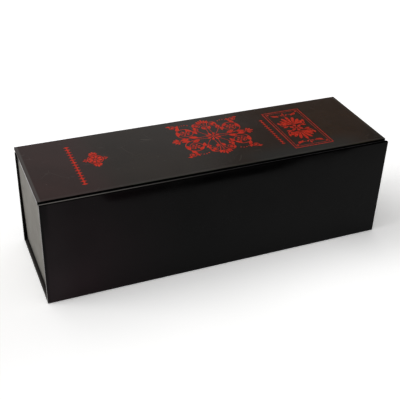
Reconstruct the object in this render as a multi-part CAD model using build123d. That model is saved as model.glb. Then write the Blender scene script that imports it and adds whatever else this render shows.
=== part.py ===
from build123d import *
import math
import os

# A rigid gift box for one bottle, lying on its base.
# A book-style case of four paper-wrapped boards (base, spine, lid and flap) folds round a
# paper-covered tray that is glued to the base and the spine. The lid turns on the paper fold
# along the top back edge, and the flap on the fold along the lid's front edge, where two
# magnets hold it against steel discs in the tray's front wall.
# Millimetres. X runs along the box, the flap faces -Y and Z is up. The origin is on the
# floor under the middle of the closed box.

# Outside of the closed case
case_length = 345.0
case_depth = 106.0
case_height = 106.7

# Sheet materials
case_board_thickness = 2.4
tray_board_thickness = 2.0
paper_thickness = 0.2
tape_thickness = 0.1

# How the paper is folded and laid
turn_in_width = 15.0
liner_margin = 3.0
wrap_edge_radius = 0.35
strip_overlap = 12.0
corner_tape_width = 12.0

# Folds between the boards of the case
groove_width = 2.4
flap_drop = 0.8
flap_floor_gap = 0.3
fold_clearance = 0.25

# Tray inside the case
tray_recess = 3.4
tray_flare = 2.0
flap_clearance = 0.3
rim_clearance = 0.4

# Magnets in the flap and the steel discs that they hold on to
magnet_diameter = 15.0
magnet_thickness = 2.0
keeper_thickness = 1.0
magnet_end_distance = 77.5
magnet_height = 22.0
pocket_clearance = 0.1

# Bottle that the foam rests carry
bottle_diameter = 76.0
bottle_neck_diameter = 30.0
bottle_clearance = 1.0

# Foam rests, placed from the ends of the box and from each other
rest_length = 40.0
heel_rest_end_distance = 52.5
neck_rest_end_distance = 52.5
heel_to_shoulder_rest = 130.0
rest_drop = 5.0
rest_side_gap = 0.2
rest_edge_radius = 1.5

# Values worked out from those above
half_length = case_length / 2
board_top = paper_thickness + case_board_thickness
wrapped_thickness = board_top + paper_thickness
lined_thickness = wrapped_thickness + paper_thickness
window_half_length = half_length - turn_in_width

case_front = -case_depth / 2
case_back = case_depth / 2
lid_front_edge = case_front + lined_thickness + groove_width
spine_top = case_height - lined_thickness - groove_width
flap_top = case_height - flap_drop

tray_front = case_front + lined_thickness + flap_clearance
tray_back = case_back - wrapped_thickness
tray_bottom = wrapped_thickness
tray_top = case_height - lined_thickness - rim_clearance
tray_wall = tray_board_thickness + 2 * paper_thickness
tray_floor_top = tray_bottom + tray_wall
base_back_edge = tray_back - groove_width

bottle_axis_y = (tray_front + tray_back) / 2
bottle_axis_z = (tray_floor_top + case_height - lined_thickness) / 2
rest_top = bottle_axis_z - rest_drop
heel_rest_x = heel_rest_end_distance - half_length
shoulder_rest_x = heel_rest_x + heel_to_shoulder_rest
neck_rest_x = half_length - neck_rest_end_distance


# Helpers
def block(x, y, z):
    """A box between two values along each axis."""
    size = Box(x[1] - x[0], y[1] - y[0], z[1] - z[0])
    return Pos((x[0] + x[1]) / 2, (y[0] + y[1]) / 2, (z[0] + z[1]) / 2) * size


def disc(radius, x, y, z):
    """A round disc at x and z whose thickness runs between two values of y."""
    height = y[1] - y[0]
    return Pos(x, (y[0] + y[1]) / 2, z) * Rot(90, 0, 0) * Cylinder(radius, height)


def save(shape, name):
    """Writes one piece under its own name."""
    shape.label = name
    export_step(shape, os.path.join("parts", name + ".step"))


# Panels of the case, each drawn lying flat: X along the box, Y across the panel from one
# fold to the next, and Z from the outer face inwards. An edge is "free" where the paper turns
# in over it, "taped" where a fold strip is glued inside it, and "fold" where there is neither.
turn_in_at = {"free": turn_in_width, "taped": 0.0, "fold": 0.0}
liner_step_at = {"free": turn_in_width, "taped": strip_overlap, "fold": 0.0}
liner_margin_at = {"free": liner_margin, "taped": 0.0, "fold": 0.0}


def panel_board(width):
    """The grey board, inside its paper."""
    return block(
        (-half_length + paper_thickness, half_length - paper_thickness),
        (paper_thickness, width - paper_thickness),
        (paper_thickness, board_top),
    )


def panel_wrap(width, near, far):
    """The outer paper: the whole outer face, the four edges and the turn-ins."""
    outside = block((-half_length, half_length), (0, width), (0, wrapped_thickness))
    outside = fillet(outside.edges(), wrap_edge_radius)
    near_end = turn_in_at[near] if near == "free" else -groove_width
    far_end = width - turn_in_at[far] if far == "free" else width + groove_width
    window = block(
        (-window_half_length, window_half_length),
        (near_end, far_end),
        (board_top, lined_thickness),
    )
    return outside - panel_board(width) - window


def panel_liner(width, near, far):
    """The inner paper: it lies over the turn-ins and sinks onto the board between them."""
    cover = block(
        (-half_length + liner_margin, half_length - liner_margin),
        (liner_margin_at[near], width - liner_margin_at[far]),
        (wrapped_thickness, lined_thickness),
    )
    low = liner_step_at[near]
    high = width - liner_step_at[far]
    sunk = block(
        (-window_half_length, window_half_length),
        (low, high),
        (board_top, wrapped_thickness),
    )
    hollow = block(
        (-window_half_length + paper_thickness, window_half_length - paper_thickness),
        (low + paper_thickness, high - paper_thickness),
        (wrapped_thickness, lined_thickness),
    )
    return cover + sunk - hollow


def fold_strip(width, reach):
    """The paper strip inside a fold: glued on the board, then reaching into the groove."""
    glued = block(
        (-window_half_length, window_half_length),
        (width - strip_overlap, width),
        (board_top, wrapped_thickness),
    )
    web = block(
        (-half_length + liner_margin, half_length - liner_margin),
        (width, width + reach),
        (board_top, wrapped_thickness),
    )
    return glued + web


# Where each flat panel goes in the closed box
base_place = Plane((0, tray_front, 0), x_dir=(1, 0, 0), z_dir=(0, 0, 1)).location
spine_place = Plane((0, case_back, 0), x_dir=(1, 0, 0), z_dir=(0, -1, 0)).location
lid_place = Plane((0, case_back, case_height), x_dir=(1, 0, 0), z_dir=(0, 0, -1)).location
flap_place = Plane((0, case_front, flap_top), x_dir=(1, 0, 0), z_dir=(0, 1, 0)).location

base_width = base_back_edge - tray_front
spine_width = spine_top
lid_width = case_back - lid_front_edge
flap_width = flap_top - flap_floor_gap

# The lid turns about the middle of its own thickness, straight above the spine, and its
# corner sweeps a circle there. The strip in the groove stops short of that circle.
lid_axis_depth = lined_thickness / 2
lid_corner_sweep = math.hypot(lid_axis_depth, lid_axis_depth)
lid_strip_reach = groove_width + lined_thickness / 2 - lid_corner_sweep - fold_clearance

# The flap turns about a line that brings it level with the lid at a right angle.
flap_axis_depth = (lined_thickness + flap_drop) / 2
flap_corner_sweep = math.hypot(flap_axis_depth, flap_axis_depth - flap_drop)
flap_axis_to_lid = lined_thickness + groove_width - flap_axis_depth
flap_strip_reach = flap_axis_to_lid - flap_corner_sweep - fold_clearance


# Tray solids: every one is a slice of the tray's outer form, whose ends flare to the rim
def tray_half_length(z):
    """Half the tray's outer length at one height."""
    share = (z - tray_bottom) / (tray_top - tray_bottom)
    return half_length - tray_recess + tray_flare * share


def tray_slice(x_inset, y, z):
    """The tray's form drawn in at its ends by x_inset, between two values of y and of z."""
    low = tray_half_length(z[0]) - x_inset
    high = tray_half_length(z[1]) - x_inset
    corners = [(-low, z[0]), (low, z[0]), (high, z[1]), (-high, z[1])]
    face = Plane.XZ * make_face(Polyline(*corners, close=True))
    return Pos(0, y[1], 0) * extrude(face, amount=y[1] - y[0])


def tray_ring(inset, z):
    """The tray's form drawn in on all four sides."""
    return tray_slice(inset, (tray_front + inset, tray_back - inset), z)


wall_outer = paper_thickness
wall_inner = paper_thickness + tray_board_thickness
board_bottom = tray_bottom + paper_thickness
board_rim = tray_top - paper_thickness
floor_board_top = board_bottom + tray_board_thickness


def tray_boards():
    """The five boards: a floor, two long walls, and two ends that stand between them."""
    between_walls = (tray_front + wall_inner, tray_back - wall_inner)
    wall_height = (board_bottom, board_rim)
    front_wall = tray_slice(
        wall_outer, (tray_front + wall_outer, tray_front + wall_inner), wall_height
    )
    back_wall = tray_slice(
        wall_outer, (tray_back - wall_inner, tray_back - wall_outer), wall_height
    )
    inside_ends = tray_slice(wall_inner, between_walls, wall_height)
    ends = (tray_slice(wall_outer, between_walls, wall_height) - inside_ends).solids()
    floor = tray_slice(wall_inner, between_walls, (board_bottom, floor_board_top))
    left_end, right_end = ends.sort_by(Axis.X)
    return floor, front_wall, back_wall, left_end, right_end


def corner_tape(side, front):
    """The thin tape that holds one upright corner: side is -1 or 1 along X."""
    skin = tray_ring(wall_outer - tape_thickness, (board_bottom, board_rim))
    skin = skin - tray_ring(wall_outer, (board_bottom, board_rim))
    y_edge = tray_front if front else tray_back
    y_inner = y_edge + (corner_tape_width if front else -corner_tape_width)
    x_inner = side * (tray_half_length(board_bottom) - corner_tape_width)
    corner = block(
        (min(x_inner, side * half_length), max(x_inner, side * half_length)),
        (min(y_edge, y_inner), max(y_edge, y_inner)),
        (tray_bottom, tray_top),
    )
    return skin & corner


def tray_wrap(boards, tapes):
    """The tray's paper: up the outside, over the rim, down inside, and turned in below."""
    wrap = tray_ring(0, (tray_bottom, tray_top))
    wrap = wrap - tray_ring(tray_wall, (floor_board_top, tray_top))
    wrap = wrap - tray_ring(turn_in_width, (tray_bottom, board_bottom))
    for piece in boards + tapes:
        wrap = wrap - piece
    return wrap


def bottle_rest(x, diameter):
    """A foam block across the tray with a round trough for the bottle."""
    body = block(
        (x - rest_length / 2, x + rest_length / 2),
        (tray_front + tray_wall + rest_side_gap, tray_back - tray_wall - rest_side_gap),
        (tray_floor_top, rest_top),
    )
    trough = Pos(x, bottle_axis_y, bottle_axis_z) * Rot(0, 90, 0)
    trough = trough * Cylinder(diameter / 2 + bottle_clearance, 2 * rest_length)
    body = body - trough
    top_edges = body.edges().filter_by_position(Axis.Z, rest_top, rest_top)
    return fillet(top_edges, rest_edge_radius)


# Magnet places, the same for the flap and the tray
magnet_x = half_length - magnet_end_distance
magnet_places = {"left": -magnet_x, "right": magnet_x}
pocket_radius = magnet_diameter / 2 + pocket_clearance
flap_board_inner = case_front + board_top
tray_board_outer = tray_front + wall_outer
magnet_depth = (flap_board_inner - magnet_thickness, flap_board_inner)
keeper_depth = (tray_board_outer, tray_board_outer + keeper_thickness)


# Building and writing
os.makedirs("parts", exist_ok=True)

save(panel_board(base_width).moved(base_place), "base_board")
save(panel_wrap(base_width, "free", "taped").moved(base_place), "base_wrap")
save(panel_board(spine_width).moved(spine_place), "spine_board")
save(panel_wrap(spine_width, "taped", "taped").moved(spine_place), "spine_wrap")
save(panel_board(lid_width).moved(lid_place), "lid_board")
save(panel_wrap(lid_width, "fold", "taped").moved(lid_place), "lid_wrap")
save(panel_liner(lid_width, "fold", "taped").moved(lid_place), "lid_liner")
save(panel_wrap(flap_width, "fold", "free").moved(flap_place), "flap_wrap")
save(panel_liner(flap_width, "fold", "free").moved(flap_place), "flap_liner")

save(fold_strip(lid_width, flap_strip_reach).moved(lid_place), "flap_hinge_strip")
save(fold_strip(spine_width, lid_strip_reach).moved(spine_place), "lid_hinge_strip")
base_side = fold_strip(base_width, groove_width).moved(base_place)
spine_side = block(
    (-window_half_length, window_half_length),
    (tray_back, tray_back + paper_thickness),
    (board_top, board_top + strip_overlap),
)
save(base_side + spine_side, "base_fold_strip")

boards = tray_boards()
board_names = ["floor", "front", "back", "left_end", "right_end"]
flap_board = panel_board(flap_width).moved(flap_place)
front_board = boards[1]
for side, x in magnet_places.items():
    magnet = disc(magnet_diameter / 2, x, magnet_depth, magnet_height)
    keeper = disc(magnet_diameter / 2, x, keeper_depth, magnet_height)
    flap_board = flap_board - disc(pocket_radius, x, magnet_depth, magnet_height)
    front_board = front_board - disc(pocket_radius, x, keeper_depth, magnet_height)
    save(magnet, "magnet_" + side)
    save(keeper, "keeper_disc_" + side)
save(flap_board, "flap_board")

tapes = []
for side, direction in {"left": -1, "right": 1}.items():
    for end in ("front", "back"):
        tape = corner_tape(direction, end == "front")
        save(tape, "corner_tape_" + end + "_" + side)
        tapes.append(tape)
save(tray_wrap(list(boards), tapes), "tray_wrap")
for name, board in zip(board_names, boards):
    save(front_board if name == "front" else board, "tray_" + name + "_board")
save(tray_ring(tray_wall, (floor_board_top, tray_floor_top)), "tray_floor_lining")

save(bottle_rest(heel_rest_x, bottle_diameter), "heel_rest")
save(bottle_rest(shoulder_rest_x, bottle_diameter), "shoulder_rest")
save(bottle_rest(neck_rest_x, bottle_neck_diameter), "neck_rest")
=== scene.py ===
import math
from collections import namedtuple

import bpy
from mathutils import Matrix, Vector, noise
from mathutils.geometry import delaunay_2d_cdt


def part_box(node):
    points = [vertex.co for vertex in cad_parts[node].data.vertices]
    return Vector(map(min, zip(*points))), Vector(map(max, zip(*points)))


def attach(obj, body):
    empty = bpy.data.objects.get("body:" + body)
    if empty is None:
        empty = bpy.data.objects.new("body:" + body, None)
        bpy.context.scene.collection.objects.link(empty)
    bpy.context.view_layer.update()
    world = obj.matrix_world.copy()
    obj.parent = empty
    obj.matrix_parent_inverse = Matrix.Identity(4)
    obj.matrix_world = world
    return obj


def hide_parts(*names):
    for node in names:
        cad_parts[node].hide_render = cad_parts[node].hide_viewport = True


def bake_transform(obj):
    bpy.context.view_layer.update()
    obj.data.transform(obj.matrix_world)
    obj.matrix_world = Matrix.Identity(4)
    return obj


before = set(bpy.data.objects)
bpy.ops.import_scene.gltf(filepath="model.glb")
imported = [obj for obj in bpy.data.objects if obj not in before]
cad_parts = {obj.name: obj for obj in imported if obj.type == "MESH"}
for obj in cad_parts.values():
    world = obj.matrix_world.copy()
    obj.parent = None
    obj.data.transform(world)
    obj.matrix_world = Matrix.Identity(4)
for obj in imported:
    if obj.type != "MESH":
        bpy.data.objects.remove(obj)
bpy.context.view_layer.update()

# Looks of the wine gift box: paper, foil, folds and foam around the solids of the frame.
# Lengths are in metres, except in the drawing of the foil, which is in millimetres.
MM = 0.001

# Places read from the frame: x along the box, y from the flap to the spine, z up
lid_low, lid_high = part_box("lid_wrap")
flap_low, flap_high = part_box("flap_wrap")
spine_low, spine_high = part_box("spine_wrap")
lid_liner_low, lid_liner_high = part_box("lid_liner")
flap_liner_low, flap_liner_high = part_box("flap_liner")
front_strip_low, front_strip_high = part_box("flap_hinge_strip")
back_strip_low, back_strip_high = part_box("lid_hinge_strip")
HALF_LENGTH = lid_high.x
LID_TOP = lid_high.z
LID_UNDER = lid_liner_low.z
LID_FRONT = lid_low.y
LID_BACK = lid_high.y
FLAP_OUTER = flap_low.y
FLAP_INNER = flap_liner_high.y
FLAP_TOP = flap_high.z

# Camera at the photograph's place and angle
PHOTO_WIDTH = 400.0
FOCAL_PIXELS = 773.3
SENSOR_WIDTH = 36.0
CAMERA_PLACE = Vector((-0.26175, -0.59630, 0.46456))
CAMERA_AZIMUTH = math.radians(-23.42)
CAMERA_ELEVATION = math.radians(32.95)
CAMERA_ROLL = math.radians(2.12)


def make_camera():
    """The photograph's camera: no shift and no depth of field."""
    data = bpy.data.cameras.new("camera")
    data.sensor_width = SENSOR_WIDTH
    data.lens = FOCAL_PIXELS / PHOTO_WIDTH * SENSOR_WIDTH
    camera = bpy.data.objects.new("camera", data)
    level = math.cos(CAMERA_ELEVATION)
    back = Vector((
        math.sin(CAMERA_AZIMUTH) * level,
        -math.cos(CAMERA_AZIMUTH) * level,
        math.sin(CAMERA_ELEVATION),
    ))
    turn = (-back).to_track_quat("-Z", "Y").to_matrix().to_4x4()
    roll = Matrix.Rotation(CAMERA_ROLL, 4, "Z")
    camera.matrix_world = Matrix.Translation(CAMERA_PLACE) @ turn @ roll
    bpy.context.scene.collection.objects.link(camera)
    bpy.context.scene.camera = camera


# Small helpers for node trees
Place = namedtuple("Place", "coords x y z")
Facing = namedtuple("Facing", "end front up")


class Nodes:
    """A material's or world's node tree with short calls to add and link nodes."""

    def __init__(self, tree):
        self.tree = tree
        tree.nodes.clear()

    def add(self, kind, values=None, **settings):
        """Adds a node, sets its properties and its inputs (a value or another socket)."""
        node = self.tree.nodes.new(kind)
        for key, value in settings.items():
            setattr(node, key, value)
        for key, value in (values or {}).items():
            socket = node.inputs[key]
            if isinstance(value, bpy.types.NodeSocket):
                self.tree.links.new(value, socket)
            else:
                socket.default_value = value
        return node

    def math(self, operation, a, b=None, clamp=False):
        """One math node; returns its result."""
        values = {0: a} if b is None else {0: a, 1: b}
        return self.add("ShaderNodeMath", values, operation=operation, use_clamp=clamp).outputs[0]

    def product(self, first, *others):
        """The product of two or more shares."""
        for other in others:
            first = self.math("MULTIPLY", first, other)
        return first

    def either(self, a, b):
        """The larger of two shares."""
        return self.math("MAXIMUM", a, b)

    def ramp(self, value, low, high, to_low=0.0, to_high=1.0):
        """A smooth step from to_low, at low, to to_high, at high; low may be the larger one."""
        node = self.add(
            "ShaderNodeMapRange",
            {"Value": value, "From Min": low, "From Max": high, "To Min": to_low, "To Max": to_high},
            interpolation_type="SMOOTHSTEP",
        )
        return node.outputs["Result"]

    def noise(self, coords, scale, detail=2.0, rough=0.5):
        """Noise between 0 and 1; scale is in features per metre."""
        node = self.add(
            "ShaderNodeTexNoise",
            {"Vector": coords, "Scale": scale, "Detail": detail, "Roughness": rough},
        )
        return node.outputs["Fac"]

    def mix(self, share, a, b):
        """A colour between a and b."""
        return self.add("ShaderNodeMix", {0: share, 6: a, 7: b}, data_type="RGBA").outputs[2]

    def bump(self, height, distance, normal=None):
        """A bump of the given depth in metres, on top of another one if its normal is given."""
        values = {"Height": height, "Distance": distance, "Strength": 1.0}
        if normal is not None:
            values["Normal"] = normal
        return self.add("ShaderNodeBump", values).outputs["Normal"]

    def place(self):
        """The place on the box at rest, as a vector and as x, y and z."""
        coords = self.add("ShaderNodeTexCoord").outputs["Object"]
        parts = self.add("ShaderNodeSeparateXYZ", {0: coords}).outputs
        return Place(coords, parts[0], parts[1], parts[2])

    def facing(self):
        """Shares: how far the surface faces along x (either way), to the front, and up."""
        normal = self.add("ShaderNodeTexCoord").outputs["Normal"]
        parts = self.add("ShaderNodeSeparateXYZ", {0: normal}).outputs
        end = self.ramp(self.math("ABSOLUTE", parts[0]), 0.5, 0.8)
        front = self.ramp(parts[1], -0.5, -0.8)
        up = self.ramp(parts[2], 0.5, 0.8)
        return Facing(end, front, up)

    def from_end(self, x):
        """The distance from the nearer end of the case."""
        return self.math("SUBTRACT", HALF_LENGTH, self.math("ABSOLUTE", x))


def new_material(name):
    """An empty material with its node helper."""
    material = bpy.data.materials.new(name)
    material.use_nodes = True
    return material, Nodes(material.node_tree)


def rgba(red, green, blue):
    """An opaque colour."""
    return (red, green, blue, 1.0)


def grey(tone):
    """An opaque neutral grey."""
    return rgba(tone, tone, tone)


def finish_surface(nodes, values):
    """Ends a tree with one Principled shader."""
    shader = nodes.add("ShaderNodeBsdfPrincipled", values)
    nodes.add("ShaderNodeOutputMaterial", {"Surface": shader.outputs[0]})


# Papers
# Black ink; also used as painted shade in the lid's groove, at the lid's front right corner and on the
# flap's top edge
BLACK_INK_AND_SHADE = grey(0.0008)
# Pale rubbed paper; also used as painted highlight on the lid and painted light on the base's ledges
RUBBED_AND_LIT = rgba(0.075, 0.068, 0.064)
DUST = rgba(0.16, 0.13, 0.12)
SCRATCH = rgba(0.11, 0.09, 0.08)
RUB_WIDTH = 1.1 * MM
SATIN_ROUGHNESS = (0.15, 0.27)
FIBRE_SCALE = 900.0
DUST_SCALE = 140.0
SCRATCH_SCALE = 32.0


def edge_share(nodes, along, low, high):
    """1 at the two ends of a span and 0 further in than the rubbed width."""
    near_low = nodes.ramp(along, low, low + RUB_WIDTH, 1.0, 0.0)
    near_high = nodes.ramp(along, high - RUB_WIDTH, high, 0.0, 1.0)
    return nodes.either(near_low, near_high)


def paper_tones(nodes, coords, dark, light, mottle_scale, dust_share):
    """Paper colour: broad mottling, fibre tone and a few pale specks of dust."""
    mottle = nodes.ramp(nodes.noise(coords, mottle_scale, 3.0, 0.6), 0.3, 0.7)
    fibre = nodes.ramp(nodes.noise(coords, FIBRE_SCALE, 4.0, 0.7), 0.3, 0.75)
    share = nodes.math("ADD", nodes.product(mottle, 0.6), nodes.product(fibre, 0.4))
    tone = nodes.mix(share, dark, light)
    away = nodes.add(
        "ShaderNodeTexVoronoi", {"Vector": coords, "Scale": DUST_SCALE, "Randomness": 1.0}
    ).outputs["Distance"]
    gate = nodes.ramp(nodes.noise(coords, 60.0, 1.0), 0.56, 0.62)
    speck = nodes.product(nodes.ramp(away, 0.10, 0.03), gate, dust_share)
    return nodes.mix(speck, tone, DUST)


def scratches(nodes, coords, tone, share):
    """A few short hairline scratches, paler than the paper."""
    bend = nodes.add("ShaderNodeTexNoise", {"Vector": coords, "Scale": 18.0, "Detail": 1.0})
    bent = nodes.add(
        "ShaderNodeVectorMath", {0: bend.outputs["Color"], "Scale": 0.02}, operation="SCALE"
    ).outputs[0]
    moved = nodes.add("ShaderNodeVectorMath", {0: coords, 1: bent}, operation="ADD").outputs[0]
    line = nodes.add(
        "ShaderNodeTexVoronoi", {"Vector": moved, "Scale": SCRATCH_SCALE}, feature="DISTANCE_TO_EDGE"
    ).outputs["Distance"]
    thin = nodes.ramp(line, 0.008, 0.002)
    gate = nodes.ramp(nodes.noise(coords, 45.0, 1.0), 0.55, 0.62)
    return nodes.mix(nodes.product(thin, gate, share), tone, SCRATCH)


def black_paper(name, dark, light, box, wear_and_light, dust=0.08, specular=0.08, form=None):
    """Black art paper with a satin film: rubbed a little paler along the panel's edges."""
    material, nodes = new_material(name)
    place = nodes.place()
    tone = paper_tones(nodes, place.coords, dark, light, 28.0, dust)
    low, high = box
    rub = edge_share(nodes, place.x, low.x, high.x)
    if high.y - low.y > high.z - low.z:
        rub = nodes.either(rub, edge_share(nodes, place.y, low.y, high.y))
    else:
        rub = nodes.either(rub, edge_share(nodes, place.z, low.z, high.z))
    patchy = nodes.ramp(nodes.noise(place.coords, 90.0, 3.0, 0.6), 0.35, 0.65, 0.1, 0.5)
    tone = nodes.mix(nodes.product(rub, patchy), tone, RUBBED_AND_LIT)
    smudge = nodes.noise(place.coords, 35.0, 4.0, 0.55)
    rough = nodes.ramp(smudge, 0.25, 0.75, SATIN_ROUGHNESS[0], SATIN_ROUGHNESS[1])
    # Each panel's wear and its painted light, shade and highlights
    tone, rough = wear_and_light(nodes, place, tone, rough)
    normal = nodes.bump(nodes.noise(place.coords, 1600.0, 3.0, 0.6), 0.01 * MM)
    normal = nodes.bump(nodes.noise(place.coords, 22.0, 1.0), 0.12 * MM, normal=normal)
    if form:
        normal = nodes.bump(form(nodes, place), 1.0, normal=normal)
    finish_surface(nodes, {
        "Base Color": tone,
        "Roughness": rough,
        "Specular IOR Level": specular,
        "Normal": normal,
    })
    return material


# The lid top's colour is warm at its left end, neutral in the middle and brown at its right end
LEFT_CAST = grey(1.0)
MIDDLE_CAST = rgba(0.60, 1.0, 0.74)
NEAR_PANEL_CAST = rgba(1.0, 1.42, 1.05)
RIGHT_CAST = rgba(1.0, 1.22, 0.58)
COOL_FRONT = rgba(0.024, 0.030, 0.030)
# The lid's faces other than its top keep a plain dark tone; the top is painted lighter and warmer,
# partly dust haze, partly painted sheen of the light from above
LID_SIDE_TONE = rgba(0.0105, 0.0095, 0.0092)
# Share of painted shade at the lid's front right corner
CORNER_SHADE = 0.6


def lid_cast(nodes, place, tone):
    """The lid's colour cast along its length, cooler by its front edge, with painted shade at the front
    right corner.
    """
    cast = nodes.mix(nodes.ramp(place.x, -128 * MM, -85 * MM), LEFT_CAST, MIDDLE_CAST)
    cast = nodes.mix(nodes.ramp(place.x, 10 * MM, 55 * MM), cast, NEAR_PANEL_CAST)
    cast = nodes.mix(nodes.ramp(place.x, 60 * MM, 125 * MM), cast, RIGHT_CAST)
    tone = nodes.add("ShaderNodeVectorMath", {0: tone, 1: cast}, operation="MULTIPLY").outputs[0]
    near_front = nodes.product(
        nodes.ramp(place.y, -16 * MM, -42 * MM),
        nodes.ramp(place.x, 15 * MM, 50 * MM),
        nodes.ramp(place.x, 160 * MM, 120 * MM, 0.1, 0.55),
    )
    tone = nodes.mix(near_front, tone, COOL_FRONT)
    # Painted shade: the front right corner is darkened towards black
    corner = nodes.product(
        nodes.ramp(place.x, 148 * MM, 172 * MM), nodes.ramp(place.y, -10 * MM, -50 * MM), CORNER_SHADE
    )
    return nodes.mix(corner, tone, BLACK_INK_AND_SHADE)


def lid_end_wear(nodes, place, end, tone, rough):
    """The lid's end faces: rubbed paler in front, and dull at the back, most of all low down."""
    worn = nodes.product(end, nodes.ramp(place.y, 18 * MM, 40 * MM, 0.42, 0.16))
    low_dull = nodes.ramp(place.z, 106.2 * MM, 105.0 * MM, 0.42, 0.9)
    dull = nodes.product(end, nodes.ramp(place.y, 20 * MM, 36 * MM), low_dull)
    return nodes.mix(worn, tone, RUBBED_AND_LIT), nodes.either(rough, dull)


LID_SMEAR = 0.2
# Share of the painted highlight near the lid's front edge
FRONT_HIGHLIGHT = 0.13


def lid_wear_and_light(nodes, place, tone, rough):
    """The lid: painted shade in the groove, scratched and smeared on top, painted highlights along its
    top's edges, rubbed paler at its end faces.
    """
    faces = nodes.facing()
    # Top faces painted lighter and warmer than the rest: partly dust haze, partly painted sheen of the
    # light from above
    tone = nodes.mix(faces.up, LID_SIDE_TONE, lid_cast(nodes, place, tone))
    tone = scratches(nodes, place.coords, tone, 0.25)
    smear = nodes.ramp(nodes.noise(place.coords, 95.0, 1.0), 0.68, 0.78)
    smear = nodes.product(smear, nodes.ramp(place.x, -60 * MM, -110 * MM), LID_SMEAR)
    tone = nodes.mix(smear, tone, RUBBED_AND_LIT)
    # Painted highlight: a thin pale line on the top near its front edge
    front_highlight = nodes.product(
        nodes.ramp(place.y, -43.6 * MM, -45.2 * MM),
        nodes.ramp(place.y, -47.0 * MM, -46.2 * MM),
        FRONT_HIGHLIGHT,
    )
    tone = nodes.mix(front_highlight, tone, RUBBED_AND_LIT)
    # Painted shade: the face that goes down into the groove is painted black
    tone = nodes.mix(faces.front, tone, BLACK_INK_AND_SHADE)
    rough = nodes.either(rough, nodes.product(faces.front, 0.9))
    from_end = nodes.from_end(place.x)
    # Painted highlight: a pale line along the top by each end, strongest at the left
    ridge_highlight = nodes.product(
        nodes.ramp(from_end, 3.6 * MM, 2.2 * MM),
        nodes.ramp(from_end, 0.7 * MM, 1.3 * MM, 0.4, 1.0),
        faces.up,
        nodes.ramp(place.x, -150 * MM, 150 * MM, 0.72, 0.2),
    )
    tone = nodes.mix(ridge_highlight, tone, RUBBED_AND_LIT)
    return lid_end_wear(nodes, place, faces.end, tone, rough)


# The flap's painted light at its foot and left, and the painted highlight on its top edge
LOW_PAINTED_LIGHT = grey(0.0060)
LEFT_PAINTED_LIGHT = rgba(0.0165, 0.0095, 0.0115)
LEFT_END_PAINTED_LIGHT = rgba(0.0225, 0.0155, 0.0175)
TOP_EDGE_HIGHLIGHT = rgba(0.20, 0.187, 0.173)
SCUFFED_FOOT = rgba(0.16, 0.15, 0.14)


def flap_wear_and_light(nodes, place, tone, rough):
    """The flap: painted light, paler at its foot and at its left, inky along that end, its top painted
    black as shade with a painted highlight along the inner edge, fading to the right.
    """
    faces = nodes.facing()
    # Painted light: paler towards the foot
    tone = nodes.mix(nodes.ramp(place.z, 75 * MM, 5 * MM, 0.0, 0.6), tone, LOW_PAINTED_LIGHT)
    # Painted light: the left part is paler and browner, most of all low down and by the end
    left_light = nodes.product(
        nodes.ramp(place.x, -30 * MM, -150 * MM),
        nodes.ramp(nodes.noise(place.coords, 14.0, 2.0), 0.3, 0.7, 0.7, 1.0),
        nodes.ramp(place.z, FLAP_TOP, 0.0, 0.4, 1.0),
    )
    left_light_tone = nodes.mix(nodes.ramp(place.x, -138 * MM, -165 * MM), LEFT_PAINTED_LIGHT, LEFT_END_PAINTED_LIGHT)
    tone = nodes.mix(left_light, tone, left_light_tone)
    strip = nodes.product(
        nodes.ramp(place.x, -168.5 * MM, -171.5 * MM), nodes.ramp(place.z, 0.0, 70 * MM, 0.4, 0.9)
    )
    upper_strip = nodes.product(
        nodes.ramp(place.x, -164 * MM, -168 * MM), nodes.ramp(place.z, 65 * MM, 95 * MM, 0.0, 0.6)
    )
    inky = nodes.product(nodes.either(strip, upper_strip), faces.front)
    tone = nodes.mix(inky, tone, BLACK_INK_AND_SHADE)
    # Painted shade and highlight: the top edge is painted black, with a pale line along its inner side
    # that fades to the right
    highlight_fade = nodes.math("POWER", nodes.ramp(place.x, 140 * MM, -172 * MM), 3.0)
    inner_edge_highlight = nodes.product(highlight_fade, nodes.ramp(place.y, -51.8 * MM, -51.3 * MM))
    tone = nodes.mix(faces.up, tone, nodes.mix(inner_edge_highlight, BLACK_INK_AND_SHADE, TOP_EDGE_HIGHLIGHT))
    foot = nodes.product(faces.end, nodes.ramp(place.z, 40 * MM, 2 * MM, 0.3, 0.5))
    return nodes.mix(foot, tone, SCUFFED_FOOT), rough


SCUFFED_END = rgba(0.11, 0.10, 0.093)


def base_wear_and_light(nodes, place, tone, rough):
    """The base: its ends are scuffed grey, most of all along the edge it stands on; its ledges by the
    ends are painted paler towards their outer edge, as painted light.
    """
    faces = nodes.facing()
    scuff = nodes.ramp(nodes.noise(place.coords, 260.0, 3.0, 0.7), 0.35, 0.65, 0.2, 0.6)
    low_edge = nodes.ramp(place.z, 0.9 * MM, 0.3 * MM)
    tone = nodes.mix(nodes.product(faces.end, nodes.either(scuff, low_edge)), tone, SCUFFED_END)
    # Painted light: the ledge at each end is paler towards its outer edge
    ledge_light = nodes.product(faces.up, nodes.ramp(nodes.from_end(place.x), 3.6 * MM, 0.0, 0.1, 0.55))
    tone = nodes.mix(ledge_light, tone, RUBBED_AND_LIT)
    return tone, nodes.either(rough, nodes.product(faces.end, 0.4))


def spine_wear(nodes, place, tone, rough):
    """The spine: its ends are dull and inky."""
    end = nodes.facing().end
    return nodes.mix(end, tone, BLACK_INK_AND_SHADE), nodes.either(rough, nodes.product(end, 0.8))


BEND_DEPTH = 1.46 * MM
BEND_REACH = 20 * MM
TOP_ROUNDING = 0.8


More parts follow.
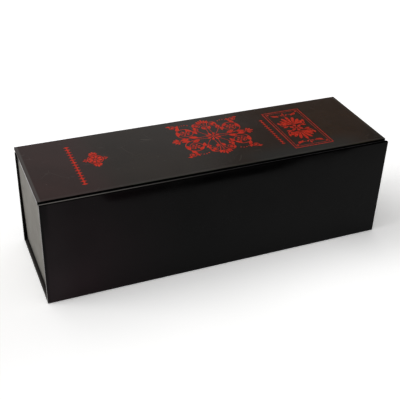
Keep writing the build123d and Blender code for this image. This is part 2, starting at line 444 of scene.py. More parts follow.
def flap_form(nodes, place):
    """The flap's board bends back a little along the middle of its top edge, and that edge is round."""
    from_reach = nodes.math("SUBTRACT", place.z, FLAP_TOP - BEND_REACH)
    near_top = nodes.math("DIVIDE", from_reach, BEND_REACH, clamp=True)
    middle = nodes.product(
        nodes.ramp(place.x, -125 * MM, -105 * MM),
        nodes.ramp(place.x, 40 * MM, 85 * MM, 1.0, 0.3),
        nodes.ramp(place.x, 118 * MM, 150 * MM, 1.0, 0.0),
    )
    bent = nodes.product(nodes.math("POWER", near_top, 3.0), middle, -BEND_DEPTH)
    rounded_top = nodes.product(nodes.math("SUBTRACT", place.y, FLAP_OUTER), TOP_ROUNDING)
    return nodes.math("ADD", bent, nodes.product(rounded_top, nodes.facing().up))


# Painted shade on the tray's ends: in the crevice by the spine, under the lid and at the foot
TRAY_SHADE = grey(0.006)


def tray_shade(nodes, place, tone):
    """The tray's ends are painted darker as shade beside the spine, along the rim's back half, and at
    the foot.
    """
    end = nodes.facing().end
    corner = nodes.product(
        nodes.ramp(place.y, 47.4 * MM, 49.6 * MM), nodes.ramp(place.z, 20 * MM, 95 * MM, 0.35, 0.95)
    )
    top_corner = nodes.product(
        nodes.ramp(place.y, 44.6 * MM, 47.2 * MM), nodes.ramp(place.z, 68 * MM, 92 * MM, 0.0, 0.95)
    )
    rim = nodes.product(
        nodes.ramp(place.z, 92 * MM, 102 * MM, 0.12, 0.8),
        nodes.ramp(place.y, 30 * MM, 46 * MM, 0.2, 1.0),
        nodes.ramp(place.z, 85 * MM, 97 * MM),
    )
    foot = nodes.ramp(place.z, 13 * MM, 3 * MM, 0.0, 0.36)
    shade_share = nodes.either(nodes.either(corner, top_corner), nodes.either(rim, foot))
    return nodes.mix(nodes.product(shade_share, end), tone, TRAY_SHADE)


def matte_paper(name, dark, light, roughness, specular, wear_and_light=None):
    """Uncoated or lightly coated paper with visible grain."""
    material, nodes = new_material(name)
    place = nodes.place()
    tone = paper_tones(nodes, place.coords, dark, light, 40.0, 0.1)
    # The tray's painted shade comes in here
    if wear_and_light:
        tone = wear_and_light(nodes, place, tone)
    blotch = nodes.noise(place.coords, 50.0, 3.0)
    rough = nodes.ramp(blotch, 0.3, 0.7, roughness - 0.05, roughness + 0.05)
    normal = nodes.bump(nodes.noise(place.coords, 1100.0, 4.0, 0.65), 0.02 * MM)
    normal = nodes.bump(nodes.noise(place.coords, 30.0, 1.0), 0.1 * MM, normal=normal)
    finish_surface(nodes, {
        "Base Color": tone,
        "Roughness": rough,
        "Specular IOR Level": specular,
        "Normal": normal,
    })
    return material


# Foil, board, tape, metal and foam
FOIL_DARK = rgba(0.47, 0.017, 0.006)
FOIL_LIGHT = rgba(0.66, 0.037, 0.014)
FOIL_WORN = rgba(0.12, 0.02, 0.015)


def foil_material():
    """Hot-stamped red foil: metallic, slightly uneven, worn thin in tiny spots."""
    material, nodes = new_material("red_foil")
    coords = nodes.place().coords
    blotch = nodes.ramp(nodes.noise(coords, 260.0, 3.0, 0.6), 0.3, 0.7)
    tone = nodes.mix(blotch, FOIL_DARK, FOIL_LIGHT)
    worn = nodes.ramp(nodes.noise(coords, 1400.0, 2.0, 0.6), 0.66, 0.74)
    tone = nodes.mix(worn, tone, FOIL_WORN)
    rough = nodes.ramp(nodes.noise(coords, 420.0, 2.0), 0.3, 0.7, 0.24, 0.4)
    normal = nodes.bump(nodes.noise(coords, 700.0, 3.0, 0.6), 0.03 * MM)
    finish_surface(nodes, {
        "Base Color": tone,
        "Metallic": 0.4,
        "Roughness": rough,
        "Specular IOR Level": 0.0,
        "Normal": normal,
    })
    return material


def board_material():
    """Bare grey board: recycled pulp with darker flecks."""
    material, nodes = new_material("grey_board")
    coords = nodes.place().coords
    fleck = nodes.ramp(nodes.noise(coords, 700.0, 4.0, 0.7), 0.35, 0.7)
    tone = nodes.mix(fleck, rgba(0.27, 0.25, 0.22), rgba(0.44, 0.42, 0.38))
    normal = nodes.bump(nodes.noise(coords, 900.0, 4.0, 0.7), 0.08 * MM)
    finish_surface(nodes, {"Base Color": tone, "Roughness": 0.92, "Normal": normal})
    return material


TAPE_RIBS = 5200.0


def tape_material():
    """Brown gummed paper tape with fine ribs."""
    material, nodes = new_material("gummed_tape")
    place = nodes.place()
    ribs = nodes.math("SINE", nodes.product(place.z, TAPE_RIBS))
    fibre = nodes.noise(place.coords, 800.0, 3.0, 0.6)
    tone = nodes.mix(fibre, rgba(0.36, 0.25, 0.14), rgba(0.52, 0.39, 0.25))
    normal = nodes.bump(nodes.math("ADD", fibre, nodes.product(ribs, 0.3)), 0.03 * MM)
    finish_surface(nodes, {"Base Color": tone, "Roughness": 0.7, "Normal": normal})
    return material


def metal_material(name, colour, roughness):
    """Plated or plain steel with fine turning marks."""
    material, nodes = new_material(name)
    streak = nodes.noise(nodes.place().coords, 500.0, 4.0, 0.6)
    rough = nodes.ramp(streak, 0.3, 0.7, roughness - 0.06, roughness + 0.08)
    tone = nodes.mix(streak, rgba(*[0.85 * c for c in colour]), rgba(*colour))
    normal = nodes.bump(streak, 0.01 * MM)
    finish_surface(nodes, {"Base Color": tone, "Metallic": 1.0, "Roughness": rough, "Normal": normal})
    return material


def flock_material():
    """Black flocked foam: short dense fibres with a soft sheen."""
    material, nodes = new_material("flocked_foam")
    coords = nodes.place().coords
    pile = nodes.noise(coords, 1500.0, 4.0, 0.75)
    brushed = nodes.ramp(nodes.noise(coords, 38.0, 2.0), 0.35, 0.65)
    dark = nodes.mix(brushed, rgba(0.011, 0.010, 0.010), rgba(0.022, 0.020, 0.020))
    tone = nodes.mix(nodes.ramp(pile, 0.45, 0.8), dark, rgba(0.05, 0.046, 0.045))
    normal = nodes.bump(pile, 0.25 * MM)
    finish_surface(nodes, {
        "Base Color": tone,
        "Roughness": 0.95,
        "Specular IOR Level": 0.2,
        "Sheen Weight": 0.35,
        "Sheen Roughness": 0.5,
        "Normal": normal,
    })
    return material


# Meshes
def add_mesh(name, verts, faces, material, smooth=False):
    """A new mesh object with one material."""
    mesh = bpy.data.meshes.new(name)
    mesh.from_pydata([tuple(v) for v in verts], [], faces)
    mesh.validate()
    mesh.materials.append(material)
    for polygon in mesh.polygons:
        polygon.use_smooth = smooth
    piece = bpy.data.objects.new(name, mesh)
    bpy.context.scene.collection.objects.link(piece)
    return piece


# Foil ornaments: flat shapes on the lid, in millimetres; headings in radians unless said otherwise
ONE_WAY = [(1, 1)]
LEFT_AND_RIGHT = [(1, 1), (-1, 1)]
BACK_AND_FRONT = [(1, 1), (1, -1)]
FOUR_WAYS = [(1, 1), (-1, 1), (1, -1), (-1, -1)]


class Foil:
    """Flat shapes about a centre, each repeated by the mirror flips in use."""

    def __init__(self, centre, scale=1.0):
        self.centre = centre
        self.scale = scale
        self.shapes = []
        self.flips = ONE_WAY

    def polygon(self, points):
        """One closed outline, in every mirror copy, anticlockwise."""
        for flip_x, flip_y in self.flips:
            wide, high = flip_x * self.scale, flip_y * self.scale
            copy = [(self.centre[0] + wide * x, self.centre[1] + high * y) for x, y in points]
            area = sum(a[0] * b[1] - b[0] * a[1] for a, b in zip(copy, copy[1:] + copy[:1]))
            self.shapes.append(copy if area > 0 else copy[::-1])

    def disc(self, place, radius, sides=12):
        """A round dot."""
        turns = [math.tau * i / sides for i in range(sides)]
        x, y = place
        self.polygon([(x + radius * math.cos(t), y + radius * math.sin(t)) for t in turns])

    def stroke(self, points, widths):
        """A line of changing width through the points, with round ends."""
        sides = []
        for i, (x, y) in enumerate(points):
            x0, y0 = points[max(i - 1, 0)]
            x1, y1 = points[min(i + 1, len(points) - 1)]
            run = math.hypot(x1 - x0, y1 - y0)
            half = widths[i] / 2
            dx, dy = -(y1 - y0) / run * half, (x1 - x0) / run * half
            sides.append(((x + dx, y + dy), (x - dx, y - dy)))
        for (a, b), (c, d) in zip(sides, sides[1:]):
            self.polygon([a, b, d, c])
        self.disc(points[0], widths[0] / 2, 10)
        self.disc(points[-1], widths[-1] / 2, 10)

    def line(self, points, width):
        """A line of even width."""
        self.stroke(points, [width] * len(points))

    def loop(self, points, width):
        """A closed line of even width."""
        for a, b in zip(points, points[1:] + points[:1]):
            self.line([a, b], width)

    def ring(self, place, radius, width, sides=32):
        """A circle drawn as a line."""
        inner, outer = radius - width / 2, radius + width / 2
        for i in range(sides):
            a, b = math.tau * i / sides, math.tau * (i + 1) / sides
            corners = [(inner, a), (outer, a), (outer, b), (inner, b)]
            self.polygon([(place[0] + r * math.cos(t), place[1] + r * math.sin(t)) for r, t in corners])

    def leaf(self, base, heading, length, width, curl):
        """A leaf in two halves with a bare rib between them; curl bends it to one side."""
        steps, rib = 9, 0.22
        spine, x, y = [], *base
        for i in range(steps + 1):
            spine.append((x, y, heading + curl * i / steps))
            x += length / steps * math.cos(spine[-1][2])
            y += length / steps * math.sin(spine[-1][2])
        for side in (1, -1):
            inner, outer = [], []
            for i, (x, y, turn) in enumerate(spine):
                share = i / steps
                swell = width / 2 * math.sin(math.pi * share ** 0.8) ** 0.9 if 0 < i < steps else 0.0
                bare = rib / 2 * (1 - share)
                for row, reach in ((inner, bare), (outer, bare + swell)):
                    row.append((x - side * reach * math.sin(turn), y + side * reach * math.cos(turn)))
            self.polygon(inner + outer[-2:0:-1])

    def drop(self, base, heading, length, width):
        """A teardrop, round at its far end."""
        points = []
        for i in range(16):
            t = math.tau * i / 16
            along = length * (0.5 - 0.5 * math.cos(t))
            across = width / 2 * math.sin(t) * (0.5 - 0.5 * math.cos(t)) ** 0.8
            points.append((
                base[0] + along * math.cos(heading) - across * math.sin(heading),
                base[1] + along * math.sin(heading) + across * math.cos(heading),
            ))
        self.polygon(points)


def bezier(start, heading, end, end_heading, pull, steps=14):
    """A smooth curve that leaves start and reaches end with the given headings; end is left out."""
    x0, y0 = start
    x3, y3 = end
    x1, y1 = x0 + pull * math.cos(heading), y0 + pull * math.sin(heading)
    x2, y2 = x3 - pull * math.cos(end_heading), y3 - pull * math.sin(end_heading)
    out = []
    for i in range(steps):
        t = i / steps
        a, b, c, d = (1 - t) ** 3, 3 * t * (1 - t) ** 2, 3 * t * t * (1 - t), t ** 3
        out.append((a * x0 + b * x1 + c * x2 + d * x3, a * y0 + b * y1 + c * y2 + d * y3))
    return out


def scroll(stem, heading, centre, radius, eye, enter, turns):
    """A stem that runs into a spiral: heading and enter in degrees, turns positive anticlockwise."""
    steps = int(abs(turns) * 40)
    spiral = []
    for i in range(steps + 1):
        share = i / steps
        angle = math.radians(enter) + math.tau * turns * share
        reach = radius + (eye - radius) * share ** 0.85
        spiral.append((centre[0] + reach * math.cos(angle), centre[1] + reach * math.sin(angle)))
    run = math.hypot(spiral[0][0] - stem[0], spiral[0][1] - stem[1])
    tangent = math.atan2(spiral[1][1] - spiral[0][1], spiral[1][0] - spiral[0][0])
    return bezier(stem, math.radians(heading), spiral[0], tangent, run * 0.4) + spiral


def swelling(points, thin, thick):
    """Widths along a scroll: thin at both ends and thick before the middle."""
    last = len(points) - 1
    return [thin + (thick - thin) * math.sin(math.pi * (i / last) ** 0.7) for i in range(last + 1)]


def along(points, share):
    """The place and heading at a share of the way along a line."""
    i = min(int(share * (len(points) - 1)), len(points) - 2)
    (x, y), (x1, y1) = points[i], points[i + 1]
    return (x, y), math.atan2(y1 - y, x1 - x)


def blossom(art, place, petals, reach, width, hub, turn=0.0):
    """Teardrop petals around a ring with a dot in it."""
    for i in range(petals):
        angle = turn + math.tau * i / petals
        base = (place[0] + hub * math.cos(angle), place[1] + hub * math.sin(angle))
        art.drop(base, angle, reach - hub, width)
    art.ring(place, hub * 0.72, hub * 0.3, 20)
    art.disc(place, hub * 0.33, 10)


def fan(art, place, heading, count, spread, reach, width):
    """A palmette: teardrops fanned out over spread degrees, the middle one longest."""
    for i in range(count):
        share = i / (count - 1) * 2 - 1
        angle = heading + math.radians(spread) / 2 * share
        length = reach * (1 - 0.32 * abs(share))
        base = (place[0] + 1.1 * math.cos(angle), place[1] + 1.1 * math.sin(angle))
        art.drop(base, angle, length, width)
    art.ring(place, 0.75, 0.35, 14)


LEAF_TILT = 0.7
LEAF_CURL = 0.6
LEAF_SLIMNESS = 0.47


def leaves(art, line, shares, sides, length):
    """Leaves on a line; they get smaller towards its end."""
    for share, side in zip(shares, sides):
        place, turn = along(line, share)
        size = length * (1 - 0.45 * share)
        art.leaf(place, turn + side * LEAF_TILT, size, size * LEAF_SLIMNESS, -side * LEAF_CURL)


def filigree():
    """The large ornament in the middle: four scrolls and their leaves around a blossom."""
    art = Foil((13.5, 12.0), 0.88)
    art.flips = FOUR_WAYS
    main = scroll((6.6, 2.6), -6, (27.0, 15.6), 12.4, 5.6, -82, 1.4)
    art.stroke(main, swelling(main, 0.5, 0.9))
    leaves(art, main, (0.1, 0.21, 0.31, 0.41, 0.51, 0.61), (1, -1, 1, -1, 1, -1), 11.0)
    blossom(art, (27.0, 15.6), 6, 5.2, 3.1, 1.2)
    rise = scroll((2.5, 6.6), 96, (9.6, 27.5), 6.2, 2.8, 172, -1.3)
    art.stroke(rise, swelling(rise, 0.45, 0.8))
    leaves(art, rise, (0.12, 0.26, 0.40, 0.56), (-1, 1, -1, 1), 7.8)
    art.disc((9.6, 27.5), 2.1, 14)
    corner = scroll((32.6, 25.7), 50, (37.2, 32.0), 4.3, 2.0, 190, -1.2)
    art.stroke(corner, swelling(corner, 0.45, 0.8))
    leaves(art, corner, (0.2, 0.45), (1, 1), 7.0)
    art.disc((37.2, 32.0), 1.6, 12)
    sprig = bezier((4.9, 4.9), math.radians(45), (12.6, 15.6), math.radians(62), 3.6, 20)
    art.stroke(sprig, swelling(sprig, 0.45, 0.7))
    fan(art, sprig[-1], math.radians(62), 3, 80, 6.8, 3.2)
    for i in range(4):
        art.disc((18.8 + 3.1 * i, 32.6 + 1.6 * math.sin(math.pi * i / 3)), 0.9 - 0.08 * i, 10)
    art.flips = BACK_AND_FRONT
    fan(art, (0, 31.0), math.pi / 2, 5, 110, 8.6, 3.2)
    for i in range(4):
        art.disc((0, 28.2 - 2.9 * i), 1.0 - 0.14 * i, 12)
    art.flips = LEFT_AND_RIGHT
    fan(art, (39.0, 0), 0, 5, 110, 8.6, 3.2)
    art.flips = ONE_WAY
    blossom(art, (0, 0), 8, 8.4, 4.2, 1.9, math.pi / 8)
    return art


def rosette():
    """The small ornament at the left: a full blossom with palmettes around it."""
    art = Foil((-107.0, 6.0), 1.08)
    blossom(art, (0, 0), 8, 6.0, 4.2, 1.4, math.pi / 8)
    art.ring((0, 0), 6.8, 0.7, 40)
    art.flips = BACK_AND_FRONT
    fan(art, (0, 6.9), math.pi / 2, 5, 120, 4.8, 2.6)
    art.flips = LEFT_AND_RIGHT
    fan(art, (6.9, 0), 0, 3, 90, 3.0, 2.0)
    return art


def diamond(art, place, half_width, half_height):
    """A lozenge standing on its point."""
    x, y = place
    art.polygon([(x + half_width, y), (x, y + half_height), (x - half_width, y), (x, y - half_height)])


def beaded_rule(centre, half_length, pitch, size):
    """Lozenges and dots by turns in a line across the lid."""
    art = Foil(centre)
    count = round(half_length / pitch)
    for i in range(-count, count + 1):
        if i % 2:
            art.disc((0, i * pitch), size * 0.3, 12)
        else:
            diamond(art, (0, i * pitch), size, pitch * 0.5)
    return art


def frame_panel():
    """The panel at the right: a double frame around two large palmettes."""
    art = Foil((99.7, 1.5))
    half_x, half_y = 20.6, 37.4
    for inset, width in ((0.0, 0.8), (2.6, 0.4)):
        x, y = half_x - inset, half_y - inset
        art.loop([(x, y), (-x, y), (-x, -y), (x, -y)], width)
    art.flips = FOUR_WAYS
    art.disc((half_x - 4.6, half_y - 4.6), 1.1, 12)
    curl = scroll((2.4, 3.2), 20, (9.4, 9.6), 4.4, 1.9, -100, 1.2)
    art.stroke(curl, swelling(curl, 0.6, 1.0))
    art.disc((9.4, 9.6), 1.6, 12)
    leaves(art, curl, (0.2, 0.42), (-1, -1), 6.4)
    corner = bezier((14.0, 31.0), math.radians(200), (4.0, 29.2), math.radians(150), 4.0, 12)
    art.stroke(corner, swelling(corner, 0.5, 1.0))
    leaves(art, corner, (0.1, 0.5), (1, 1), 5.6)
    art.flips = BACK_AND_FRONT
    fan(art, (0, 6.2), math.pi / 2, 7, 132, 17.5, 4.7)
    fan(art, (0, 26.6), math.pi / 2, 3, 110, 5.0, 2.8)
    art.flips = ONE_WAY
    blossom(art, (0, 0), 6, 6.4, 4.6, 1.6, math.pi / 6)
    return art


PLATE_RISE = 0.05 * MM
PLATE_SINK = 0.03 * MM


def inside(point, outline):
    """True where a point lies inside a closed outline."""
    odd = False
    for (x0, y0), (x1, y1) in zip(outline, outline[1:] + outline[:1]):
        if (y0 > point.y) != (y1 > point.y):
            odd ^= point.x < x0 + (point.y - y0) / (y1 - y0) * (x1 - x0)
    return odd


def part_pinches(triangles, points):
    """Gives each group of triangles that meet in one point only its own copy of that point."""
    around = {}
    for t, triangle in enumerate(triangles):
        for i in triangle:
            around.setdefault(i, []).append(t)
    for i, members in around.items():
        groups = []
        for t in members:
            rim, group = set(triangles[t]) - {i}, [t]
            for other in [g for g in groups if g[0] & rim]:
                groups.remove(other)
                rim, group = rim | other[0], group + other[1]
            groups.append((rim, group))
        for rim, group in groups[1:]:
            points.append(points[i])
            for t in group:
                triangles[t] = [len(points) - 1 if j == i else j for j in triangles[t]]


def foil_plate(name, art, material):
    """Joins the flat shapes into one outline and raises it into a thin closed plate on the lid."""
    merge_distance = 0.002
    points, faces = [], []
    for shape in art.shapes:
        faces.append(list(range(len(points), len(points) + len(shape))))
        points.extend(Vector(p) for p in shape)
    flat, _, triangles, _, _, owners = delaunay_2d_cdt(points, [], faces, 1, merge_distance)
    kept = []
    for triangle, owner in zip(triangles, owners):
        middle = sum((flat[i] for i in triangle), Vector((0, 0))) / len(triangle)
        if any(inside(middle, art.shapes[i]) for i in owner):
            kept.append(list(triangle))
    flat = list(flat)
    part_pinches(kept, flat)
    used = sorted({i for t in kept for i in t})
    place = {old: new for new, old in enumerate(used)}
    count = len(used)
    verts = []
    for height in (LID_TOP + PLATE_RISE, LID_TOP - PLATE_SINK):
        verts.extend((flat[i].x * MM, flat[i].y * MM, height) for i in used)
    top = [[place[i] for i in t] for t in kept]
    edges = {(t[i], t[(i + 1) % len(t)]) for t in top for i in range(len(t))}
    sides = [(a, a + count, b + count, b) for a, b in edges if (b, a) not in edges]
    bottom = [[i + count for i in reversed(t)] for t in top]
    plate = add_mesh(name, verts, top + bottom + sides, material)
    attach(plate, "lid")
    return plate


def make_foil():
    """All the foil on the lid, left to right."""
    foil = foil_material()
    foil_plate("foil_beaded_rule", beaded_rule((-127.0, 1.5), 34.0, 2.43, 2.9), foil)
    foil_plate("foil_rosette", rosette(), foil)
    foil_plate("foil_filigree", filigree(), foil)
    foil_plate("foil_dot_rule", beaded_rule((72.0, 1.5), 25.2, 2.1, 2.3), foil)
    foil_plate("foil_framed_panel", frame_panel(), foil)


# Folds: a strip of paper through each groove, glued on one side
PAPER = 0.2 * MM
PATH_STEP = 0.25 * MM
FOLD_SHORTER = 0.4 * MM


def paper_strip(name, path, material):
    """A strip of paper that follows a path of (y, z) points, extruded along x."""
    columns = 24
    half_length = HALF_LENGTH - FOLD_SHORTER
    offsets = []
    for i, point in enumerate(path):
        before = Vector(path[max(i - 1, 0)])
        after = Vector(path[min(i + 1, len(path) - 1)])
        direction = (after - before).normalized()
        offsets.append(Vector((-direction.y, direction.x)) * PAPER / 2)
    verts = []
    for column in range(columns + 1):
        x = -half_length + 2 * half_length * column / columns
        for point, offset in zip(path, offsets):
            for side in (1, -1):
                verts.append((x, point[0] + side * offset.x, point[1] + side * offset.y))
    row = 2 * len(path)
    faces = []
    for column in range(columns):
        a = column * row
        b = a + row
        for i in range(0, row - 2, 2):
            faces.append((a + i, b + i, b + i + 2, a + i + 2))
            faces.append((a + i + 1, a + i + 3, b + i + 3, b + i + 1))
        faces.append((a, a + 1, b + 1, b))
        faces.append((a + row - 2, b + row - 2, b + row - 1, a + row - 1))
    for start, flip in ((0, False), (columns * row, True)):
        for i in range(0, row - 2, 2):
            face = (start + i, start + i + 2, start + i + 3, start + i + 1)
            faces.append(face[::-1] if flip else face)
    return add_mesh(name, verts, faces, material, smooth=True)


def spaced(points, step):
    """The same path with points no further apart than step."""
    out = [points[0]]
    for start, end in zip(points, points[1:]):
        count = max(1, math.ceil((Vector(end) - Vector(start)).length / step))
        for i in range(1, count + 1):
            out.append(tuple(Vector(start).lerp(Vector(end), i / count)))
    return out


def soft_corner(before, corner, after, radius, steps=5):
    """Points that round one corner of a path."""
    corner = Vector(corner)
    a = (Vector(before) - corner).normalized() * radius + corner
    b = (Vector(after) - corner).normalized() * radius + corner
    turns = [i / steps for i in range(steps + 1)]
    return [tuple(a * (1 - t) ** 2 + corner * 2 * t * (1 - t) + b * t ** 2) for t in turns]


def rounded(points, radius):
    """The same path with its corners rounded."""
    out = [points[0]]
    for before, corner, after in zip(points, points[1:], points[2:]):
        out.extend(soft_corner(before, corner, after, radius))
    out.append(points[-1])
    return out


def make_front_fold(material):
    """The paper in the groove between the lid and the flap."""
    level = front_strip_low.z + PAPER / 2
    inner = FLAP_INNER + 0.15 * MM
    under = LID_UNDER + 0.15 * MM
    path = rounded(
        [(front_strip_high.y, level), (LID_FRONT - 0.05 * MM, level), (LID_FRONT - 0.3 * MM, under),
         (inner, under), (inner, FLAP_TOP - 0.1 * MM)],
        0.12 * MM,
    )
    fold = paper_strip("front_fold_paper", spaced(path, PATH_STEP), material)
    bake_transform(fold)
    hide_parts("flap_hinge_strip")


def make_back_fold(material):
    """The paper in the groove between the spine and the lid."""
    depth = back_strip_low.y + PAPER / 2
    under = LID_UNDER - 0.12 * MM
    path = rounded(
        [(depth, back_strip_low.z), (depth, under), (LID_BACK - 0.15 * MM, under)],
        0.3 * MM,
    )
    fold = paper_strip("back_fold_paper", spaced(path, PATH_STEP), material)
    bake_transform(fold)
    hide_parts("lid_hinge_strip")


# Foam rests: cut blocks with softened edges and a round trough for the bottle
REST_DROP = 5.0 * MM
TROUGHS = {"heel_rest": 39.0 * MM, "shoulder_rest": 39.0 * MM, "neck_rest": 16.0 * MM}
SHOULDER_RADIUS, LIP_RADIUS, FOOT_RADIUS = 3.2 * MM, 2.6 * MM, 2.4 * MM
ARC_STEP, SECTION_STEP = 1.4 * MM, 1.6 * MM
END_SOFTNESS, END_TUCK = 2.2 * MM, 1.2 * MM
CUT_DEPTH, CUT_SCALE = 0.3 * MM, 24 * MM


def rest_section(low, high, trough):
    """The rest's outline as (y, z) points: floor, sides, rounded shoulders and lips, and the trough."""
    middle = (low.y + high.y) / 2
    centre = high.z + REST_DROP
    reach = math.acos(REST_DROP / trough)
    first = reach - LIP_RADIUS / trough
    steps = math.ceil(2 * first * trough / ARC_STEP)
    turns = [first - 2 * first * i / steps for i in range(steps + 1)]
    arc = [(middle + trough * math.sin(t), centre - trough * math.cos(t)) for t in turns]
    half = trough * math.sin(reach)
    right, left = (middle + half, high.z), (middle - half, high.z)
    corners = [(low.y, low.z), (high.y, low.z), (high.y, high.z), (low.y, high.z)]
    path = soft_corner(corners[3], corners[0], corners[1], FOOT_RADIUS)
    path += soft_corner(corners[0], corners[1], corners[2], FOOT_RADIUS)
    path += soft_corner(corners[1], corners[2], right, SHOULDER_RADIUS)
    path += soft_corner(corners[2], right, arc[0], LIP_RADIUS)[:-1] + arc
    path += soft_corner(arc[-1], left, corners[3], LIP_RADIUS)[1:]
    path += soft_corner(left, corners[3], corners[0], SHOULDER_RADIUS)
    return spaced(path + [path[0]], SECTION_STEP)[:-1]


def rest_stations(length):
    """Places along a rest and how far its section is drawn in there: rounded at both ends."""
    turns = [math.pi / 2 * i / 5 for i in range(6)]
    ends = [(END_SOFTNESS * (1 - math.cos(t)), END_TUCK * (1 - math.sin(t))) for t in turns]
    plain = length - 2 * END_SOFTNESS
    inner = [(END_SOFTNESS + plain * i / 22, 0.0) for i in range(1, 22)]
    return ends + inner + [(length - x, inset) for x, inset in reversed(ends)]


def make_rest(name, material):
    """One rest: its section drawn along x, drawn in at both ends, with a slightly uneven cut."""
    low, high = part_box(name)
    section = [Vector(p) for p in rest_section(low, high, TROUGHS[name])]
    count = len(section)
    outward = []
    for i in range(count):
        run = (section[(i + 1) % count] - section[i - 1]).normalized()
        outward.append(Vector((run.y, -run.x)))
    stations = rest_stations(high.x - low.x)
    verts = []
    for x, inset in stations:
        for point, normal in zip(section, outward):
            place = Vector((low.x + x, point.x, point.y)) / CUT_SCALE
            uneven = CUT_DEPTH * abs(noise.noise(place))
            moved = point - normal * (inset + uneven)
            verts.append((low.x + x, moved.x, max(moved.y, low.z)))
    faces = []
    for row in range(len(stations) - 1):
        a, b = row * count, (row + 1) * count
        for i in range(count):
            j = (i + 1) % count
            faces.append((a + i, a + j, b + j, b + i))
    last = (len(stations) - 1) * count
    faces.append(tuple(reversed(range(count))))
    faces.append(tuple(range(last, last + count)))
    rest = add_mesh(name + "_foam", verts, faces, material, smooth=True)
    for polygon in rest.data.polygons:
        polygon.use_smooth = len(polygon.vertices) == 4
    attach(rest, "tray_case")
    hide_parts(name)


# Stage: floor, world, cards and lamp
FLOOR_SIZE = 12.0
FLOOR_WHITE = 0.93
FLOOR_SEEN = 1.5
FLOOR_GLOW = 0.08
# Painted shadows and painted light on the floor's white, soft round patches: middle, reach, and how
# much darker (or lighter) it gets
FLOOR_PAINTED_SHADE_AND_LIGHT = (
    ((-0.30, -0.04, 0.0), 0.30, 0.22),
    ((0.200, -0.046, 0.0), 0.095, 0.2),
    ((0.085, -0.11, 0.0), 0.12, -0.08),
)
LEFT_SKY = 0.72
RIGHT_SKY = 0.4
KEY_PLACE = Vector((-1.7, 0.2, 1.3))
KEY_TARGET = Vector((0, 0, 0.05))
KEY_SIZE = 1.2
KEY_POWER = 12.0
BLACK_CARD = 0.0
GREY_CARD = 0.4


def seen_share(nodes):
    """1 where the camera, a reflection or clear glass looks, 0 for the light that falls on surfaces."""
    path = nodes.add("ShaderNodeLightPath").outputs
    seen = nodes.either(path["Is Camera Ray"], path["Is Glossy Ray"])
    return nodes.either(seen, path["Is Transmission Ray"])


def make_floor():
    """A plain white floor that keeps the object's shadow, with painted shadows beside the box's ends
    and painted light in front of its right half.
    """
    material, nodes = new_material("white_floor")
    seen = seen_share(nodes)
    white = nodes.add("ShaderNodeMapRange", {
        "Value": seen, "To Min": FLOOR_WHITE, "To Max": FLOOR_SEEN,
    }).outputs["Result"]
    coords = nodes.place().coords
    # Painted shadow and painted light: each patch scales the floor's white
    for place, reach, depth in FLOOR_PAINTED_SHADE_AND_LIGHT:
        away = nodes.add("ShaderNodeVectorMath", {0: coords, 1: place}, operation="DISTANCE")
        white = nodes.product(white, nodes.ramp(away.outputs["Value"], 0.0, reach, 1.0 - depth, 1.0))
    colour = nodes.add("ShaderNodeCombineColor", {
        "Red": white, "Green": nodes.product(white, 0.996), "Blue": nodes.product(white, 0.99),
    }).outputs[0]
    paper = nodes.add("ShaderNodeBsdfDiffuse", {"Color": colour})
    glow = nodes.product(seen, FLOOR_GLOW)
    gleam = nodes.add("ShaderNodeEmission", {"Color": rgba(1, 1, 1), "Strength": glow})
    both = nodes.add("ShaderNodeAddShader", {0: paper.outputs[0], 1: gleam.outputs[0]})
    nodes.add("ShaderNodeOutputMaterial", {"Surface": both.outputs[0]})
    size = FLOOR_SIZE / 2
    corners = [(-size, -size, 0), (size, -size, 0), (size, size, 0), (-size, size, 0)]
    add_mesh("floor", corners, [(0, 1, 2, 3)], material)


def make_world():
    """Soft light that fades from the left to the right, on a background that is seen as white."""
    world = bpy.data.worlds.new("studio")
    world.use_nodes = True
    bpy.context.scene.world = world
    nodes = Nodes(world.node_tree)
    direction = nodes.add("ShaderNodeTexCoord").outputs["Generated"]
    parts = nodes.add("ShaderNodeSeparateXYZ", {0: direction}).outputs
    sideways = nodes.math("ADD", parts[0], nodes.product(parts[1], -0.2))
    soft = nodes.ramp(sideways, -0.5, 0.7, LEFT_SKY, RIGHT_SKY)
    strength = nodes.either(soft, seen_share(nodes))
    background = nodes.add("ShaderNodeBackground", {"Color": rgba(1, 1, 1), "Strength": strength})
    nodes.add("ShaderNodeOutputWorld", {"Surface": background.outputs[0]})


def make_card(name, corners, tone):
    """A card of the studio that only reflections see, so that it darkens the satin paper."""
    material, nodes = new_material(name)
    finish_surface(nodes, {"Base Color": grey(tone), "Roughness": 1.0, "Specular IOR Level": 0.0})
    card = add_mesh(name, corners, [(0, 1, 2, 3)], material)
    card.visible_camera = False
    card.visible_diffuse = False
    card.visible_shadow = False
    card.visible_transmission = False


def make_cards():
    """Black cards on the floor and overhead for the flap, a grey one at the back right for the lid."""
    half, near, far, low = 0.9, -0.24, -0.75, 0.004
    corners = [(-half, far, low), (half, far, low), (half, near, low), (-half, near, low)]
    make_card("low_card", corners, BLACK_CARD)
    left, right, bottom, top = (0.75, 1.5), (2.0, 0.2), 0.35, 2.2
    corners = [(*left, bottom), (*right, bottom), (*right, top), (*left, top)]
    make_card("back_card", corners, GREY_CARD)
    half, ahead, above = 2.5, (-2.2, 0.3), (0.1, 1.7)
    corners = [(-half, *ahead), (half, *ahead), (half, *above), (-half, *above)]
    make_card("front_card", corners, BLACK_CARD)


def make_lamp():
    """The key light: a square soft box at the left, aimed at the object."""
    data = bpy.data.lights.new("key", "AREA")
    data.shape = "SQUARE"
    data.size = KEY_SIZE
    data.energy = KEY_POWER
    lamp = bpy.data.objects.new("key", data)
    aim = (KEY_TARGET - KEY_PLACE).to_track_quat("-Z", "Y").to_matrix().to_4x4()
    lamp.matrix_world = Matrix.Translation(KEY_PLACE) @ aim
    bpy.context.scene.collection.objects.link(lamp)


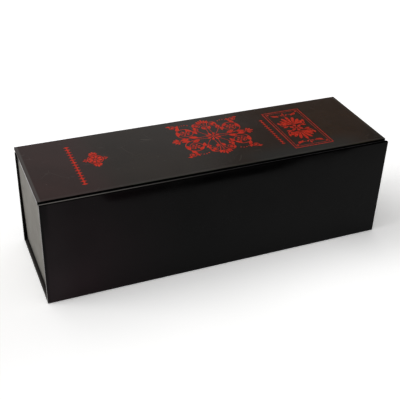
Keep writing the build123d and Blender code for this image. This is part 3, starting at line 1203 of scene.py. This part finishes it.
def set_material(names, material):
    """Gives carried-over nodes one material."""
    for name in names:
        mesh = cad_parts[name].data
        mesh.materials.clear()
        mesh.materials.append(material)


# The papers' colours, each a dark and a light tone that fibres and mottling mix
# The lid's top is painted far lighter and warmer than the flap, base and spine, which are the same
# cover paper: partly dust haze, partly painted sheen of the light from above
LID_TOP_TONE = (rgba(0.020, 0.0075, 0.0060), rgba(0.030, 0.0115, 0.0095))
CASE_PRINT = (rgba(0.0008, 0.0008, 0.0008), rgba(0.0020, 0.0019, 0.0019))
TRAY_GREY = (rgba(0.165, 0.154, 0.137), rgba(0.204, 0.192, 0.171))
INNER_BLACK = (rgba(0.010, 0.009, 0.009), rgba(0.020, 0.018, 0.018))
FOLD_BLACK = (rgba(0.006, 0.006, 0.006), rgba(0.012, 0.011, 0.011))
FLAP_SPECULAR = 0.057
INK_PAST_EDGE = 3 * MM


def dress_case():
    """The outer paper of the lid, flap, base and spine."""
    lid = black_paper("lid_paper", *LID_TOP_TONE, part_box("lid_wrap"), lid_wear_and_light, dust=0.35)
    set_material(["lid_wrap"], lid)
    past_edge = Vector((0, 0, INK_PAST_EDGE))
    rubbed_at_ends = (flap_low - past_edge, flap_high + past_edge)
    flap = black_paper(
        "flap_paper", *CASE_PRINT, rubbed_at_ends, flap_wear_and_light, specular=FLAP_SPECULAR, form=flap_form
    )
    set_material(["flap_wrap"], flap)
    for name, wear_and_light in (("base_wrap", base_wear_and_light), ("spine_wrap", spine_wear)):
        set_material([name], black_paper(name + "_paper", *CASE_PRINT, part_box(name), wear_and_light))


def dress_nodes():
    """A procedural material for every node of the frame, apart from the foam rests."""
    dress_case()
    set_material(["lid_liner", "flap_liner"], matte_paper("inner_paper", *INNER_BLACK, 0.62, 0.25))
    tray = matte_paper("tray_paper", *TRAY_GREY, 0.6, 0.12, wear_and_light=tray_shade)
    set_material(["tray_wrap"], tray)
    set_material(["tray_floor_lining"], matte_paper("lining_paper", *TRAY_GREY, 0.6, 0.12))
    set_material([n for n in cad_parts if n.endswith("_board")], board_material())
    set_material([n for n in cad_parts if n.startswith("corner_tape")], tape_material())
    nickel = metal_material("nickel_plate", (0.66, 0.64, 0.60), 0.22)
    set_material(["magnet_left", "magnet_right"], nickel)
    steel = metal_material("sheet_steel", (0.50, 0.50, 0.51), 0.38)
    set_material(["keeper_disc_left", "keeper_disc_right"], steel)


def make_rests():
    """The three foam rests, flocked."""
    flock = flock_material()
    set_material(TROUGHS, flock)
    for name in TROUGHS:
        make_rest(name, flock)


def make_folds():
    """The paper of the folds: the two in the hinge grooves, and the flat strip along the bottom back
    edge.
    """
    fold = matte_paper("fold_paper", *FOLD_BLACK, 0.5, 0.25)
    set_material(["base_fold_strip"], fold)
    make_front_fold(fold)
    make_back_fold(fold)


make_camera()
make_floor()
make_cards()
make_world()
make_lamp()
dress_nodes()
make_rests()
make_folds()
make_foil()

bpy.context.scene.view_settings.view_transform = "Standard"
